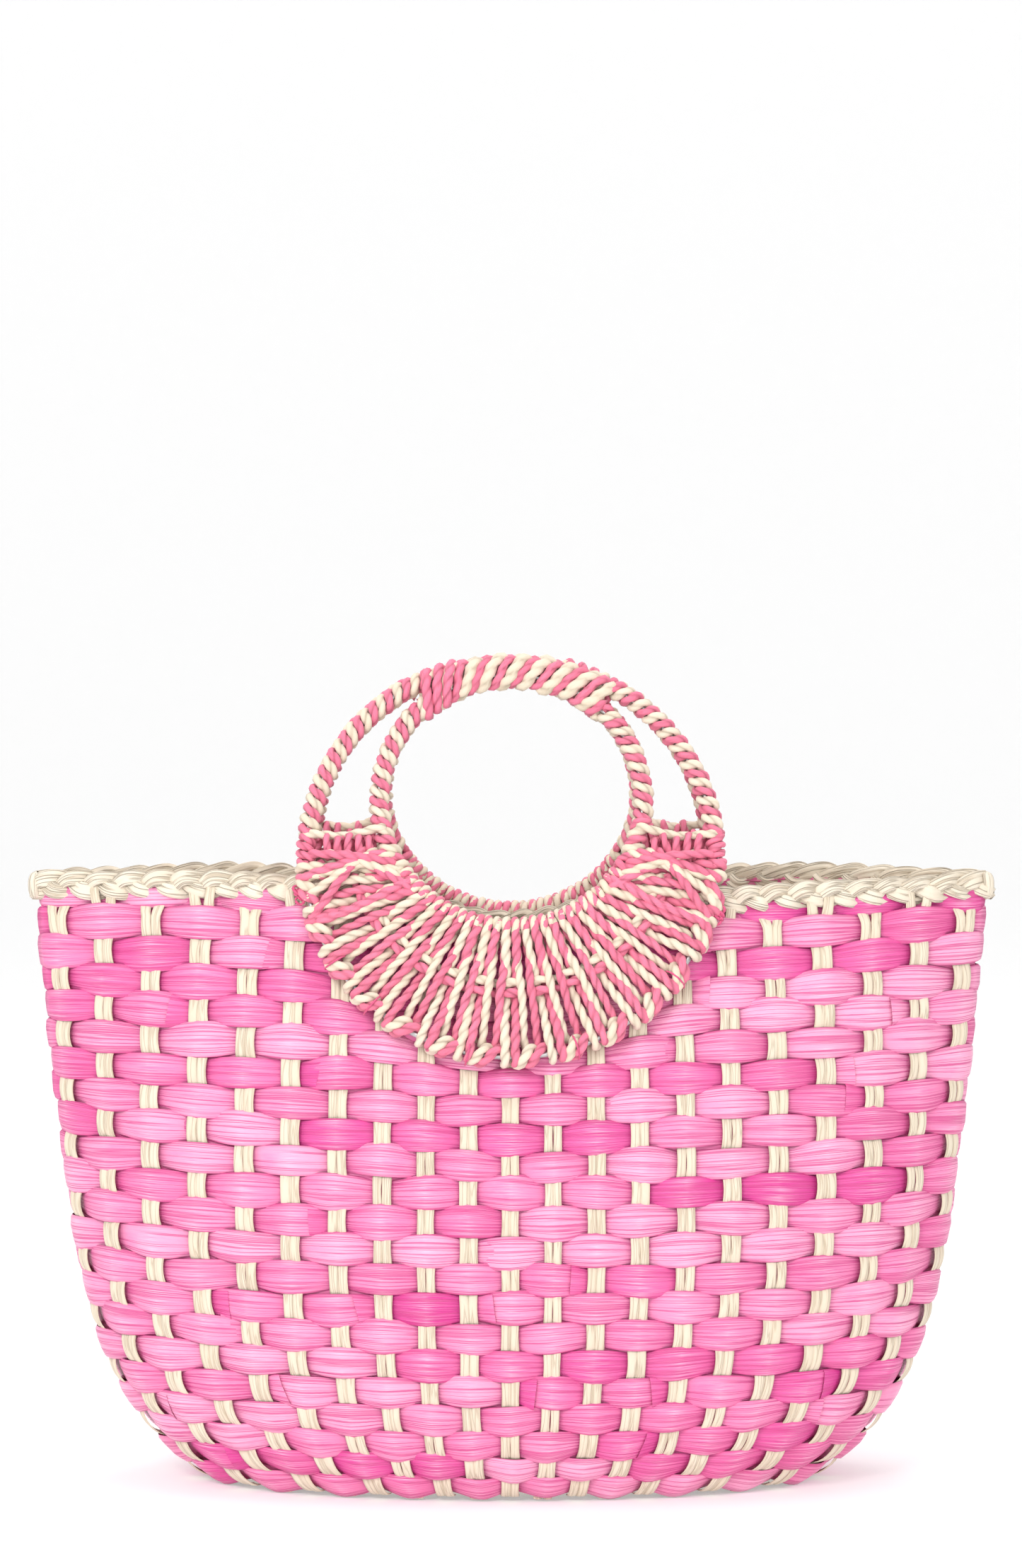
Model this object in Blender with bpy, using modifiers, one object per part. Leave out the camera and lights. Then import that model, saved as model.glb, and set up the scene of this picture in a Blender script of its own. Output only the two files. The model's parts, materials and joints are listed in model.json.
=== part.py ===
"""A woven husk tote basket with two round laced handles.

X runs along the basket's width, the front faces -Y and +Z is up. The origin is on the ground under
the middle of the base. All lengths are metres.
"""

import math

import bmesh
import bpy
from mathutils import Matrix, Vector

# Driving dimensions of the bag
CORNER_HEIGHT = 0.277
RIM_DIP = 0.0230
RIM_DIP_WIDTH = 0.055
BASE_HALF_WIDTH = 0.137
BASE_HALF_DEPTH = 0.058
HUSK_THICK = 0.0032
STAKE_THICK = 0.0011
STAKE_WIDTH = 0.0082
LINING_THICK = 0.0010
GAP = 0.0004
COURSES = 10
STAKES_ROUND = 42
BASE_MAT_THICK = 0.0030
BRAID_RADIUS = 0.0062
BRAID_INSET = 0.0020
BRAID_FOLD = 0.80  # how much thinner the braid is where it folds at a corner
COURSE_SWELL = 0.0008
RING_STAND_OFF = 0.0036  # from a ring's wraps to the wall at the hinge line

# Driving dimensions of a handle, in its own plane
LEAN = math.radians(19.8)
HINGE_HEIGHT = 0.1945
OUTER_RING = 0.0925
INNER_RING = 0.0597
RING_CENTRES_APART = 0.0265
WIRE_RADIUS = 0.0014
WRAP_RADIUS = 0.0048
WRAP_THICK = 0.0022
FAN_THICK = 0.0042
GRIP_HALF_ANGLE = math.radians(24.5)
GRIP_RADIUS = 0.0877
GRIP_HALF_HEIGHT = 0.0084
GRIP_WRAP_THICK = 0.0015
WRAP_SLIT = math.radians(24)  # half the slit left along the back of a wrap
BAR_DROP = 0.0215  # from the inner ring's middle down to the crossbars
BAR_HEIGHT = 0.0070
FAN_DROP = 0.0265  # from the inner ring's middle down to the fan's top edge
WEFT_RADIUS = 0.0015
WEFT_LIFT = 0.0020
WEFT_REACH = math.radians(76)
WEFT_APART = 0.0045
TIE_SIZE = (0.0075, 0.0030, 0.0060)
TIE_TURNS = (math.radians(112), math.pi, math.radians(248))
INNER_WRAP_START = math.radians(38.0)

WALL_SAMPLES = 720
RING_SEGMENTS = 32
INNER_LEVELS = (0.200, 0.140, 0.085, 0.045, 0.022, 0.012)
STAKE_INSET = HUSK_THICK + 0.0024
END_INSET = 1.6  # the pinched ends taper, so an inner layer stops further from them


def half_width(z):
    """Half the bag's width at a height: a steep wall that turns in round the base."""
    return 0.192 + 0.097 * z - (0.192 - BASE_HALF_WIDTH) * math.exp(-z / 0.038)


def half_depth(z):
    """Half the bag's depth at a height: the wall leans in towards the mouth."""
    return 0.0765 - 2.0 * z**3 - (0.0765 - BASE_HALF_DEPTH) * math.exp(-z / 0.020)


def slope(size, z):
    """How fast a half size of the bag grows with height."""
    step = 0.0005
    return (size(z + step) - size(z)) / step


def section_point(z, turn, inset):
    """A point of the wall at a level; turn is the angle round it and inset the depth into the wall."""
    rise = min(z / CORNER_HEIGHT, 1.0)
    along = 2.15 + 0.45 * rise
    pinch = 0.5 + 0.42 * rise**1.5
    wide, deep = slope(half_width, z), slope(half_depth, z)
    width = half_width(z) - (END_INSET + 1.3 * rise**2) * inset / math.hypot(1, wide)
    depth = half_depth(z) - inset / math.hypot(1, deep)
    across = math.cos(turn) ** 2
    lift = inset * (wide / math.hypot(1, wide) * across + deep / math.hypot(1, deep) * (1 - across))
    x = width * math.cos(turn)
    y = depth * math.copysign((1 - abs(math.cos(turn)) ** along) ** pinch, math.sin(turn))
    return x, y, sagged(z, x) + lift


def sagged(z, x):
    """The height a level takes at x: the rim and the rows under it dip behind the handles."""
    level = min(z, CORNER_HEIGHT - 2 * BRAID_RADIUS)
    return z - RIM_DIP * (level / CORNER_HEIGHT) ** 5 * math.exp(-((x / RIM_DIP_WIDTH) ** 2))


def wall_ring(z, inset, places):
    """Points round the wall at one level, at the given fractions of its length."""
    outline = [
        Vector(section_point(z, 2 * math.pi * i / WALL_SAMPLES, inset))
        for i in range(WALL_SAMPLES + 1)
    ]
    run = [0.0]
    for a, b in zip(outline, outline[1:]):
        run.append(run[-1] + (b - a).length)
    spread = 0.15 * math.exp(-z / 0.06)
    points = []
    i = 0
    for place in places:
        target = (place - spread * math.sin(4 * math.pi * place) / (4 * math.pi)) * run[-1]
        while run[i + 1] < target and i < WALL_SAMPLES - 1:
            i += 1
        step = (target - run[i]) / (run[i + 1] - run[i])
        points.append(outline[i].lerp(outline[i + 1], step))
    return points


def ring_places(count):
    """Fractions round the wall, closer together at its two pinched ends."""
    even = [i / count for i in range(count)]
    return [u - 0.15 * math.sin(4 * math.pi * u) / math.pi for u in even]


def material(name, colour, roughness=0.7, metallic=0.0):
    made = bpy.data.materials.new(name)
    made.use_nodes = True
    shader = made.node_tree.nodes["Principled BSDF"]
    shader.inputs["Base Color"].default_value = (*colour, 1.0)
    shader.inputs["Roughness"].default_value = roughness
    shader.inputs["Metallic"].default_value = metallic
    made.diffuse_color = (*colour, 1.0)
    return made


def place(mesh_or_curve, name, finish, parent=None):
    """Puts a mesh or curve in the basket's collection as one named piece."""
    piece = bpy.data.objects.new(name, mesh_or_curve)
    mesh_or_curve.materials.append(finish)
    basket.objects.link(piece)
    piece.parent = parent
    return piece


def mesh_from(bm, name):
    bmesh.ops.recalc_face_normals(bm, faces=bm.faces)
    mesh = bpy.data.meshes.new(name)
    bm.to_mesh(mesh)
    bm.free()
    mesh.shade_smooth()
    return mesh


def swept_sheet(rows, closed):
    """An open sheet: the first row of points is laid as edges, then extruded to each next row."""
    bm = bmesh.new()
    row = [bm.verts.new(point) for point in rows[0]]
    pairs = list(zip(row, row[1:]))
    if closed:
        pairs.append((row[-1], row[0]))
    edges = [bm.edges.new(pair) for pair in pairs]
    for points in rows[1:]:
        made = bmesh.ops.extrude_edge_only(bm, edges=edges)["geom"]
        edges = [item for item in made if isinstance(item, bmesh.types.BMEdge)]
        below = set(row)
        above = {}
        for vert in made:
            if isinstance(vert, bmesh.types.BMVert):
                old = next(e.other_vert(vert) for e in vert.link_edges if e.other_vert(vert) in below)
                above[old] = vert
        row = [above[vert] for vert in row]
        for vert, point in zip(row, points):
            vert.co = point
    return bm


def shell_mesh(bm, name):
    """A mesh whose faces look away from the middle of the bag."""
    bmesh.ops.recalc_face_normals(bm, faces=bm.faces)
    middle = sum((v.co for v in bm.verts), Vector()) / len(bm.verts)
    if sum((f.calc_center_median() - middle).dot(f.normal) for f in bm.faces) < 0:
        bmesh.ops.reverse_faces(bm, faces=bm.faces)
    mesh = bpy.data.meshes.new(name)
    bm.to_mesh(mesh)
    bm.free()
    mesh.shade_smooth()
    return mesh


def thicken(piece, thickness, offset):
    solid = piece.modifiers.new("thickness", "SOLIDIFY")
    solid.thickness = thickness
    solid.offset = offset
    solid.use_even_offset = False
    return solid


# ---------------------------------------------------------------- the bag

def wall_levels():
    """The heights where one husk course meets the next, from the base edge to under the braid."""
    first = BASE_MAT_THICK + 0.0015
    last = CORNER_HEIGHT - 2 * BRAID_RADIUS - 0.0006
    return [first + (last - first) * i / COURSES for i in range(COURSES + 1)]


def husk_courses():
    """The husk weft: bands round the bag, each swelling between the lines where it is beaten down."""
    levels = wall_levels()
    places = ring_places(RING_SEGMENTS)
    for i in range(COURSES):
        low = levels[i] + GAP / 2
        high = levels[i + 1] - GAP / 2
        rows = [
            wall_ring(low, 0.0, places),
            wall_ring((low + high) / 2, -COURSE_SWELL, places),
            wall_ring(high, 0.0, places),
        ]
        name = f"husk_course_{i + 1:02d}"
        thicken(place(shell_mesh(swept_sheet(rows, True), name), name, husk), HUSK_THICK, -1.0)


def stake_leg(place_round, levels, inset):
    """The middle line of one upright ribbon, from the base to under the braid."""
    return [wall_ring(z, inset, [place_round])[0] for z in levels]


def stakes():
    """Paired paper ribbons: each runs down one side, across the base under the lining, and up the other."""
    top = CORNER_HEIGHT - 2 * BRAID_RADIUS - 0.0042
    for i in range(STAKES_ROUND // 2):
        front = 0.5 + (i + 0.5) / STAKES_ROUND
        left = stake_leg(front, (top, *INNER_LEVELS), STAKE_INSET)
        right = stake_leg(1.0 - front, (top, *INNER_LEVELS), STAKE_INSET)
        layer = (i % 2) * (STAKE_THICK + 2 * GAP)
        floor = BASE_MAT_THICK + GAP + STAKE_THICK / 2 + layer
        feet = [Vector((p.x * 0.90, p.y * 0.78, floor)) for p in (left[-1], right[-1])]
        ribbon(left + feet + right[::-1], f"stake_{i + 1:02d}")


def ribbon(line, name):
    """A flat ribbon along a line, its width across the line and along the wall."""
    rows = ([], [])
    for i, point in enumerate(line):
        ahead = line[min(i + 1, len(line) - 1)] - line[max(i - 1, 0)]
        outward = Vector((point.x * 0.12, point.y, 0.0))
        if point.z < 0.012:
            outward = Vector((0.0, 0.0, -1.0))
        across = ahead.cross(outward).normalized() * STAKE_WIDTH / 2
        rows[0].append(point - across)
        rows[1].append(point + across)
    mesh = mesh_from(swept_sheet(rows, False), name)
    piece = place(mesh, name, paper)
    thicken(piece, STAKE_THICK, 0.0)


def base_mat():
    """The flat plaited bottom, an oval plate that the bag stands on."""
    bm = bmesh.new()
    bmesh.ops.create_circle(bm, cap_ends=True, segments=32, radius=1.0)
    for vert in bm.verts:
        turn = math.atan2(vert.co.y, vert.co.x)
        x, y, _ = section_point(0.0, turn, 0.0005)
        vert.co = Vector((x, y, 0.0))
    made = bmesh.ops.extrude_face_region(bm, geom=bm.faces[:])
    top = [item for item in made["geom"] if isinstance(item, bmesh.types.BMVert)]
    bmesh.ops.translate(bm, verts=top, vec=(0, 0, BASE_MAT_THICK))
    place(mesh_from(bm, "base_mat"), "base_mat", paper)


def rim_braid():
    """The plaited border round the mouth, a rounded band that folds sharply at the two corners."""
    places = ring_places(32)
    level = CORNER_HEIGHT - BRAID_RADIUS
    path = bpy.data.curves.new("rim_braid", "CURVE")
    path.dimensions = "3D"
    path.bevel_depth = BRAID_RADIUS
    path.bevel_resolution = 1
    line = path.splines.new("POLY")
    points = wall_ring(level, BRAID_INSET, places)
    line.points.add(len(points) - 1)
    for spot, point in zip(line.points, points):
        spot.co = (*point, 1.0)
        corner = abs(point.x) / half_width(level)
        spot.radius = 1.0 if corner < 0.9 else BRAID_FOLD
    line.use_cyclic_u = True
    place(path, "rim_braid", paper)


def lining():
    """The cloth bag inside: a wall and a floor, open at the mouth."""
    inset = STAKE_INSET + 0.0030
    levels = [CORNER_HEIGHT - 0.018, *INNER_LEVELS]
    places = ring_places(RING_SEGMENTS)
    rows = [wall_ring(z, inset, places) for z in levels]
    floor = BASE_MAT_THICK + 3 * GAP + 3 * STAKE_THICK + LINING_THICK + 0.0008
    lowest = rows[-1]
    for wide, deep in ((0.85, 0.70), (0.50, 0.35)):
        rows.append([Vector((p.x * wide, p.y * deep, floor)) for p in lowest])
    bm = swept_sheet(rows, True)
    last = [e for e in bm.edges if e.is_boundary and all(v.co.z < floor + 0.001 for v in e.verts)]
    bmesh.ops.holes_fill(bm, edges=last, sides=0)
    thicken(place(shell_mesh(bm, "lining"), "lining", cloth), LINING_THICK, -1.0)


# ---------------------------------------------------------------- the handles

def ring_mesh(major, minor, segments, sides):
    """A torus in the XY plane, turned from a circle."""
    bm = bmesh.new()
    made = bmesh.ops.create_circle(bm, segments=sides, radius=minor)
    bmesh.ops.rotate(bm, verts=made["verts"], matrix=Matrix.Rotation(math.pi / 2, 3, "X"))
    bmesh.ops.translate(bm, verts=made["verts"], vec=(major, 0, 0))
    bmesh.ops.spin(bm, geom=bm.verts[:] + bm.edges[:], axis=(0, 0, 1), cent=(0, 0, 0),
                   angle=2 * math.pi, steps=segments, use_merge=True)
    return bm


def wrap_mesh(major, start, end, steps, half_height, half_depth_of_wrap):
    """A sleeve round a wire, open in a slit at the back, turned about the ring's centre."""
    bm = bmesh.new()
    sides = 6
    row = []
    for i in range(sides + 1):
        turn = -math.pi / 2 + WRAP_SLIT + (2 * math.pi - 2 * WRAP_SLIT) * i / sides
        spot = (major + half_height * math.cos(turn), 0, half_depth_of_wrap * math.sin(turn))
        row.append(bm.verts.new(spot))
    for pair in zip(row, row[1:]):
        bm.edges.new(pair)
    bmesh.ops.rotate(bm, verts=bm.verts, matrix=Matrix.Rotation(math.pi / 2 + start, 3, "Z"))
    bmesh.ops.spin(bm, geom=bm.verts[:] + bm.edges[:], axis=(0, 0, 1), cent=(0, 0, 0),
                   angle=end - start, steps=steps)
    return bm


def sleeve(name, parent, finish, centre, bm, thick=WRAP_THICK):
    """Places a wrap sleeve in the handle's plane and thickens its wall inwards."""
    bmesh.ops.translate(bm, verts=bm.verts, vec=(0, centre, 0))
    mesh = mesh_from(bm, name)
    piece = place(mesh, name, finish, parent)
    thicken(piece, thick, 1.0 if mesh_looks_in(mesh, centre) else -1.0)


def mesh_looks_in(mesh, centre):
    """Whether a sleeve's faces look at the middle of its own tube."""
    total = 0.0
    radii = [(v.co - Vector((0, centre, 0))).xy.length for v in mesh.vertices]
    middle = (min(radii) + max(radii)) / 2
    for face in mesh.polygons:
        flat = (face.center - Vector((0, centre, 0))).xy
        core = Vector((0, centre, 0)) + Vector((*flat.normalized(), 0)) * middle
        total += (face.center - core).dot(face.normal)
    return total < 0


def fan_outline(radius, centre_y, top):
    """Points of a circle below a height, from its left side round the bottom to its right side."""
    reach = math.acos(max(-1.0, min(1.0, (top - centre_y) / radius)))
    steps = 22
    points = []
    for i in range(steps + 1):
        turn = reach + (2 * math.pi - 2 * reach) * i / steps
        points.append(Vector((-radius * math.sin(turn), centre_y + radius * math.cos(turn), 0)))
    return points


def arc_cord(name, parent, finish, centre, radius, reach, lift, thick):
    """A thin cord along the lower part of a circle, on the fan's outer face."""
    path = bpy.data.curves.new(name, "CURVE")
    path.dimensions = "3D"
    path.bevel_depth = thick
    path.bevel_resolution = 0
    path.use_fill_caps = True
    line = path.splines.new("POLY")
    steps = 18
    line.points.add(steps)
    for i, spot in enumerate(line.points):
        turn = math.pi - reach + 2 * reach * i / steps
        spot.co = (radius * math.sin(turn), centre + radius * math.cos(turn), lift, 1.0)
    place(path, name, finish, parent)


def tie(name, parent, finish, centre, turn):
    """A thread knot that holds the outer ring to the wall, on the ring's outer edge."""
    bm = bmesh.new()
    bmesh.ops.create_cube(bm, size=1.0)
    bmesh.ops.scale(bm, vec=TIE_SIZE, verts=bm.verts)
    spot = Matrix.Translation((0, centre, 0)) @ Matrix.Rotation(-turn, 4, "Z")
    reach = OUTER_RING + WRAP_RADIUS + 0.0015 + GAP
    bmesh.ops.transform(bm, matrix=spot @ Matrix.Translation((0, reach, 0.0004)), verts=bm.verts)
    place(mesh_from(bm, name), name, finish, parent)


def crossbar(name, parent, side):
    """The knotted bar that closes the lower end of the gap between the two rings."""
    inner_centre = outer_centre + RING_CENTRES_APART
    level = inner_centre - BAR_DROP
    clear = WRAP_RADIUS + 0.0012
    low = math.sqrt((INNER_RING + clear) ** 2 - (level - inner_centre) ** 2)
    high = math.sqrt((OUTER_RING - clear) ** 2 - (level - outer_centre) ** 2)
    bm = bmesh.new()
    bmesh.ops.create_cube(bm, size=1.0)
    bmesh.ops.scale(bm, vec=(high - low - 3 * GAP, BAR_HEIGHT, BAR_HEIGHT), verts=bm.verts)
    bmesh.ops.bevel(bm, geom=bm.edges[:], offset=0.0020, segments=1, affect="EDGES", profile=0.5)
    bmesh.ops.translate(bm, verts=bm.verts, vec=(side * (low + high) / 2, level, 0))
    place(mesh_from(bm, name), name, cord, parent)


def handle(side_name, facing):
    """One round handle: two wire rings, their cord wraps, and the laced fan between them."""
    frame = bpy.data.objects.new(side_name + "_handle_hinge", None)
    basket.objects.link(frame)
    wall = half_depth(HINGE_HEIGHT)
    stand_off = WRAP_RADIUS + RING_STAND_OFF
    frame.matrix_world = (
        Matrix.Rotation(0.0 if facing < 0 else math.pi, 4, "Z")
        @ Matrix.Translation((0, -wall - stand_off, HINGE_HEIGHT))
        @ Matrix.Rotation(math.pi / 2 - LEAN, 4, "X")
    )
    inner_centre = outer_centre + RING_CENTRES_APART
    for label, radius, centre in (("outer", OUTER_RING, outer_centre), ("inner", INNER_RING, inner_centre)):
        bm = ring_mesh(radius, WIRE_RADIUS, 26, 4)
        bmesh.ops.translate(bm, verts=bm.verts, vec=(0, centre, 0))
        place(mesh_from(bm, label), f"{side_name}_{label}_ring_wire", steel, frame)

    outer_start = GRIP_HALF_ANGLE + math.radians(1.4)
    for label, centre, radius, start, steps in (
            ("outer", outer_centre, OUTER_RING, outer_start, 26),
            ("inner", inner_centre, INNER_RING, INNER_WRAP_START, 20)):
        wrap = wrap_mesh(radius, start, 2 * math.pi - start, steps, WRAP_RADIUS, WRAP_RADIUS)
        sleeve(f"{side_name}_{label}_ring_wrap", frame, cord, centre, wrap)
    sleeve(f"{side_name}_grip_wrap", frame, cord, outer_centre,
           wrap_mesh(GRIP_RADIUS, -GRIP_HALF_ANGLE, GRIP_HALF_ANGLE, 7, GRIP_HALF_HEIGHT, WRAP_RADIUS),
           GRIP_WRAP_THICK)

    clear = WRAP_RADIUS + 0.0007
    top = inner_centre - FAN_DROP
    rows = [
        fan_outline(OUTER_RING - clear, outer_centre, top),
        fan_outline(INNER_RING + clear, inner_centre, top),
    ]
    fan = place(mesh_from(swept_sheet(rows, False), "fan"), f"{side_name}_fan_lacing", cord, frame)
    thicken(fan, FAN_THICK, 0.0)
    middle = (OUTER_RING + INNER_RING) / 2
    centre = (outer_centre + inner_centre) / 2
    for i, label in enumerate(("pink", "cream")):
        arc_cord(f"{side_name}_fan_weft_{label}", frame, cord, centre, middle - 0.002 + WEFT_APART * (1 - i),
                 WEFT_REACH, FAN_THICK / 2 + WEFT_LIFT, WEFT_RADIUS)
    crossbar(f"{side_name}_left_crossbar", frame, -1)
    crossbar(f"{side_name}_right_crossbar", frame, 1)
    for i, turn in enumerate(TIE_TURNS):
        tie(f"{side_name}_thread_tie_{i + 1}", frame, thread, outer_centre, turn)


for old in list(bpy.data.objects):
    bpy.data.objects.remove(old)
basket = bpy.data.collections.new("woven_tote_basket")
bpy.context.scene.collection.children.link(basket)

husk = material("dyed_husk", (0.80, 0.18, 0.42))
paper = material("cream_paper", (0.86, 0.78, 0.62))
cord = material("twisted_cord", (0.84, 0.55, 0.52))
cloth = material("lining_cloth", (0.90, 0.86, 0.80))
steel = material("ring_wire", (0.55, 0.56, 0.57), 0.4, 1.0)
thread = material("pink_thread", (0.80, 0.30, 0.40))
outer_centre = OUTER_RING + WRAP_RADIUS + 0.0012

base_mat()
husk_courses()
stakes()
lining()
rim_braid()
handle("front", -1)
handle("back", 1)
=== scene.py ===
"""The looks of a woven husk tote with two round laced handles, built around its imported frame."""

import json
import random
from collections import defaultdict
from math import asin, cos, exp, pi, radians, sin, sqrt, tanh, tau

import bmesh
import bpy
import numpy as np
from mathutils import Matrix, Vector


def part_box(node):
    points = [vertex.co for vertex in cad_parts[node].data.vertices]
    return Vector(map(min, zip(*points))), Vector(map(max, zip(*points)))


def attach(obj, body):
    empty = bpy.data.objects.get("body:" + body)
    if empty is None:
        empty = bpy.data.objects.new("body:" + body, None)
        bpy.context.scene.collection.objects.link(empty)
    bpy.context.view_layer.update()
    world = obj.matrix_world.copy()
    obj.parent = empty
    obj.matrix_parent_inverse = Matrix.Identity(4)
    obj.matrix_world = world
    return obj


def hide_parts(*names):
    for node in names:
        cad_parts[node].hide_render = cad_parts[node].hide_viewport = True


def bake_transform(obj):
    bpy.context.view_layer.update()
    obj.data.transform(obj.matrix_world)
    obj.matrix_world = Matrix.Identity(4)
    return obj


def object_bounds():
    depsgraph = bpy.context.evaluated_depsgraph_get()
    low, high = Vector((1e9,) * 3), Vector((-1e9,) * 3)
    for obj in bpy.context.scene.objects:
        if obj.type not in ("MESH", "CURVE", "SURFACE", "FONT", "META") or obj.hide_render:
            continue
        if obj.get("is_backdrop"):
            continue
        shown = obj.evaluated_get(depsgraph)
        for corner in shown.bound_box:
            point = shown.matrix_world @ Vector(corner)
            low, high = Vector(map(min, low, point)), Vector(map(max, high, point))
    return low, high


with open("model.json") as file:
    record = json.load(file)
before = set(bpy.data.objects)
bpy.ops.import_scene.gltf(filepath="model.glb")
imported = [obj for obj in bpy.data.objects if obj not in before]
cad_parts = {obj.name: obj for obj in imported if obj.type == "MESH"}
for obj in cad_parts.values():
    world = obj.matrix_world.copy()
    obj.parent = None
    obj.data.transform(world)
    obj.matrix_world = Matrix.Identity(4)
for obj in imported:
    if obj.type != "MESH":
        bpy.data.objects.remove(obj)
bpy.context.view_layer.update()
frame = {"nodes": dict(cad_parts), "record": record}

RNG = random.Random(20)

# ---- the bag's shape, as the frame has it

CORNER_HEIGHT = 0.277   # of the mouth's two ends
RIM_DIP = 0.0270        # how far the rim sinks behind a handle, and over what width
RIM_DIP_WIDTH = 0.055
RIM_RISE = 0.0032       # how far it rises beside a handle, and from where
RIM_RISE_FROM = 0.085
RIM_SAG = 0.0110        # how far it sags at the front right, and where that runs out
RIM_SAG_END = 0.23
WALL_TOP = 0.2745       # the top edge of the last row
DIP_TOP = 0.2646        # above this the dip grows no deeper
STAKES_ROUND = 42
FACE_STAKES = STAKES_ROUND // 2
ROWS = 22
HINGE_HEIGHT = frame["record"]["behaviour"]["joints"][0]["pos_m"][2]
HINGE_REACH = abs(frame["record"]["behaviour"]["joints"][0]["pos_m"][1])
LEAN = radians(19.8)


def half_width(z):
    """Flares evenly above a rounded foot."""
    return 0.192 + 0.097 * z - 0.055 * np.exp(-z / 0.038)


def half_depth(z):
    """Draws in towards the mouth above a rounded foot."""
    return 0.0765 - 2.0 * z**3 - 0.0185 * np.exp(-z / 0.020)


def dip(z, x, front):
    """How far a level sinks behind the handles. Beside them it rises a little, but sags at the
    front right."""
    level = (np.minimum(z, DIP_TOP) / CORNER_HEIGHT) ** 5
    beside = (1 - np.exp(-((x / RIM_RISE_FROM) ** 2))) * (1 - (x / half_width(z)) ** 4)
    rise = np.where(front & (x > 0), -RIM_SAG * (1 - x / RIM_SAG_END), RIM_RISE)
    return level * (RIM_DIP * np.exp(-((x / RIM_DIP_WIDTH) ** 2)) - rise * beside)


def section(z, turn):
    """Points of the wall at heights z and angles turn: an oval with sharper ends higher up."""
    rise = np.clip(z / CORNER_HEIGHT, 0, 1)
    along = 2.15 + 0.45 * rise
    pinch = 0.5 + 0.42 * rise**1.5
    x = half_width(z) * np.cos(turn)
    swell = np.maximum(1 - np.abs(np.cos(turn)) ** along, 0) ** pinch
    y = half_depth(z) * np.sign(np.sin(turn)) * swell
    return np.stack([x, y, z - dip(z, x, np.sin(turn) < 0)], -1)


SAMPLES = 1440
PLACES = 720
TABLE_HEIGHTS = np.linspace(-0.004, 0.286, 146)


def length_tables():
    """For each height, the girth and the angle at fractions of the way round. The fractions are
    spread so that stakes stand a little closer at the faces' middle than at the ends."""
    turns = np.linspace(0, tau, SAMPLES + 1)
    places = np.linspace(0, 1, PLACES + 1)
    rows, lengths = [], []
    for z in TABLE_HEIGHTS:
        level = max(z, 0.0)
        points = section(np.full_like(turns, level), turns)
        run = np.concatenate([[0], np.cumsum(np.linalg.norm(np.diff(points, axis=0), axis=1))])
        spread = 0.06 * exp(-level / 0.06) - 0.13
        wanted = (places - spread * np.sin(4 * pi * places) / (4 * pi)) * run[-1]
        rows.append(np.interp(wanted, run, turns))
        lengths.append(run[-1])
    return np.array(rows), np.array(lengths)


TURN_TABLE, GIRTH_TABLE = length_tables()


def turn_at(place, z):
    """The angle of a place round the bag, from 0 to 1, at a height."""
    whole = np.floor(place)
    column = (place - whole) * PLACES
    row = (np.clip(z, TABLE_HEIGHTS[0], TABLE_HEIGHTS[-1]) - TABLE_HEIGHTS[0]) / (
        TABLE_HEIGHTS[1] - TABLE_HEIGHTS[0])
    i = np.clip(column.astype(int), 0, PLACES - 1)
    j = np.clip(row.astype(int), 0, len(TABLE_HEIGHTS) - 2)
    a, b = column - i, row - j
    low = TURN_TABLE[j, i] * (1 - a) + TURN_TABLE[j, i + 1] * a
    high = TURN_TABLE[j + 1, i] * (1 - a) + TURN_TABLE[j + 1, i + 1] * a
    return low * (1 - b) + high * b + tau * whole


def unit(vectors):
    return vectors / np.maximum(np.linalg.norm(vectors, axis=-1, keepdims=True), 1e-12)


def wall(place, z, out):
    """Points out from the wall's middle surface, at places round it and heights."""
    place, z, out = np.broadcast_arrays(*(np.asarray(v, float) for v in (place, z, out)))

    def at(p, h):
        return section(np.maximum(h, 0.0), turn_at(p, h)) + np.stack(
            [0 * h, 0 * h, np.minimum(h, 0.0)], -1)

    step = 0.0015
    across = at(place + step, z) - at(place - step, z)
    up = at(place, z + step) - at(place, np.maximum(z - step, 0))
    return at(place, z) + unit(np.cross(across, up)) * out[..., None]


def row_edges():
    """Heights of the row edges, evenly spaced along the wall from the ground to the braid."""
    z = np.linspace(0.0015, WALL_TOP, 400)
    wide = np.gradient(half_width(z), z)
    deep = np.gradient(half_depth(z), z)
    rate = np.sqrt(1 + ((wide + deep) / 2) ** 2)
    run = np.concatenate([[0], np.cumsum((rate[1:] + rate[:-1]) / 2 * np.diff(z))])
    return np.interp(np.linspace(0, run[-1], ROWS + 1), run, z)


ROW_EDGES = row_edges()
HINGE_ROW = float(np.interp(HINGE_HEIGHT, ROW_EDGES, np.arange(ROWS + 1)))


def row_height(v):
    """The height at v rows up the wall."""
    steps = np.arange(ROWS + 1)
    above = np.maximum(np.asarray(v, float) - ROWS, 0) * (ROW_EDGES[-1] - ROW_EDGES[-2])
    return np.interp(v, steps, ROW_EDGES) + above


# ---- laying strips and cords

GIRTH_CM = 90       # patterns run in centimetres along a strip: once round the bag,
ROW_CM = 1.26       # one row up the wall,
PATH_CM = 100       # and a metre of a cord
LAY_STEP = 0.0015   # between the points of a cord's path


def put(name, data):
    """An object of this data in the scene."""
    made = bpy.data.objects.new(name, data)
    bpy.context.scene.collection.objects.link(made)
    return made


def spots(x, y, z):
    """Points from their three coordinates, each a number or a grid."""
    return np.stack(np.broadcast_arrays(x, y, z), -1)


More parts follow.
